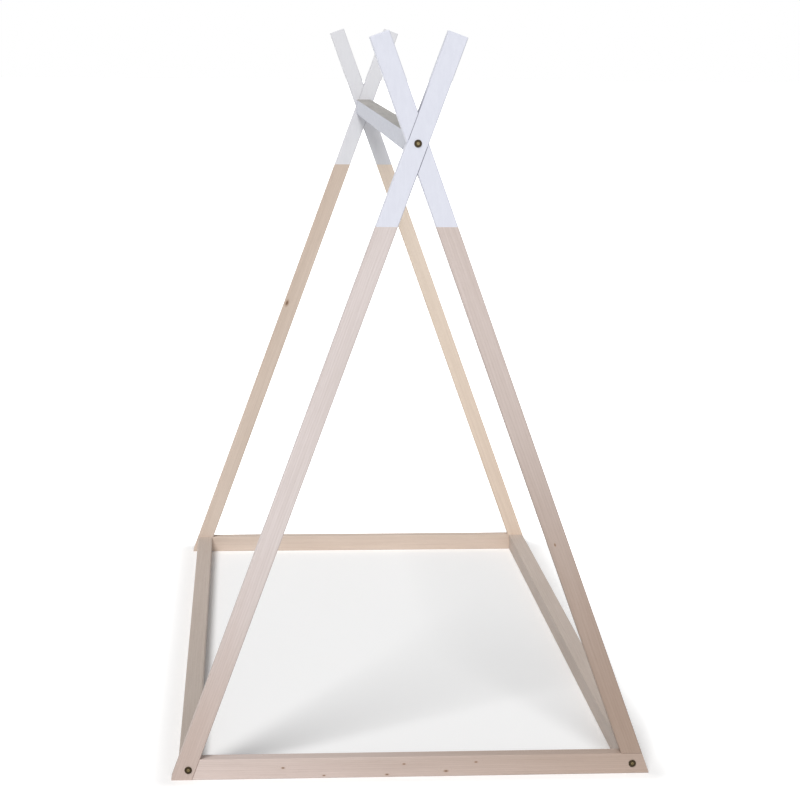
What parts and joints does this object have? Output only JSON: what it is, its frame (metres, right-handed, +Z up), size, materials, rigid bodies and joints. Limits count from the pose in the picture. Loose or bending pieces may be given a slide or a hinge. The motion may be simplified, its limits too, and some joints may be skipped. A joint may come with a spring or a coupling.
{
  "type": "teepee bed",
  "caption": "Child's floor-level teepee bed frame in pale wood with white-painted tops: crossed-pole end frames, side rails and a ridge bar, bolted together.",
  "frame": {"origin": "on the floor, at the middle of the bed's outline", "axes": "+Z up, the bed's length along Y with its front end towards -Y, its width along X"},
  "size_m": [1.0348, 2.0924, 1.591],
  "materials": {
    "pale_wood": "planed, matt clear finish",
    "white_painted_wood": "satin white paint",
    "dowel_wood": "raw",
    "bronze_bolt": "antique bronze plating",
    "zinc_steel": "zinc plated"
  },
  "bodies": {
    "root": {"back_butt_joint_dowels": "dowel_wood", "back_end_rail": "pale_wood", "back_left_barrel_nut": "zinc_steel", "back_left_corner_bolt": "bronze_bolt", "back_left_locating_dowels": "dowel_wood", "back_left_pole": "pale_wood", "back_ridge_barrel_nut": "zinc_steel", "back_ridge_bolt": "bronze_bolt", "back_ridge_dowels": "dowel_wood", "back_right_barrel_nut": "zinc_steel", "back_right_corner_bolt": "bronze_bolt", "back_right_locating_dowels": "dowel_wood", "back_right_pole": "pale_wood", "back_standing_pole_dowels": "dowel_wood", "front_butt_joint_dowels": "dowel_wood", "front_end_rail": "pale_wood", "front_left_barrel_nut": "zinc_steel", "front_left_corner_bolt": "bronze_bolt", "front_left_locating_dowels": "dowel_wood", "front_left_pole": "pale_wood", "front_ridge_barrel_nut": "zinc_steel", "front_ridge_bolt": "bronze_bolt", "front_ridge_dowels": "dowel_wood", "front_right_barrel_nut": "zinc_steel", "front_right_corner_bolt": "bronze_bolt", "front_right_locating_dowels": "dowel_wood", "front_right_pole": "pale_wood", "front_standing_pole_dowels": "dowel_wood", "left_side_rail": "pale_wood", "ridge_bar": "white_painted_wood", "right_side_rail": "pale_wood"}
  },
  "joints": []
}
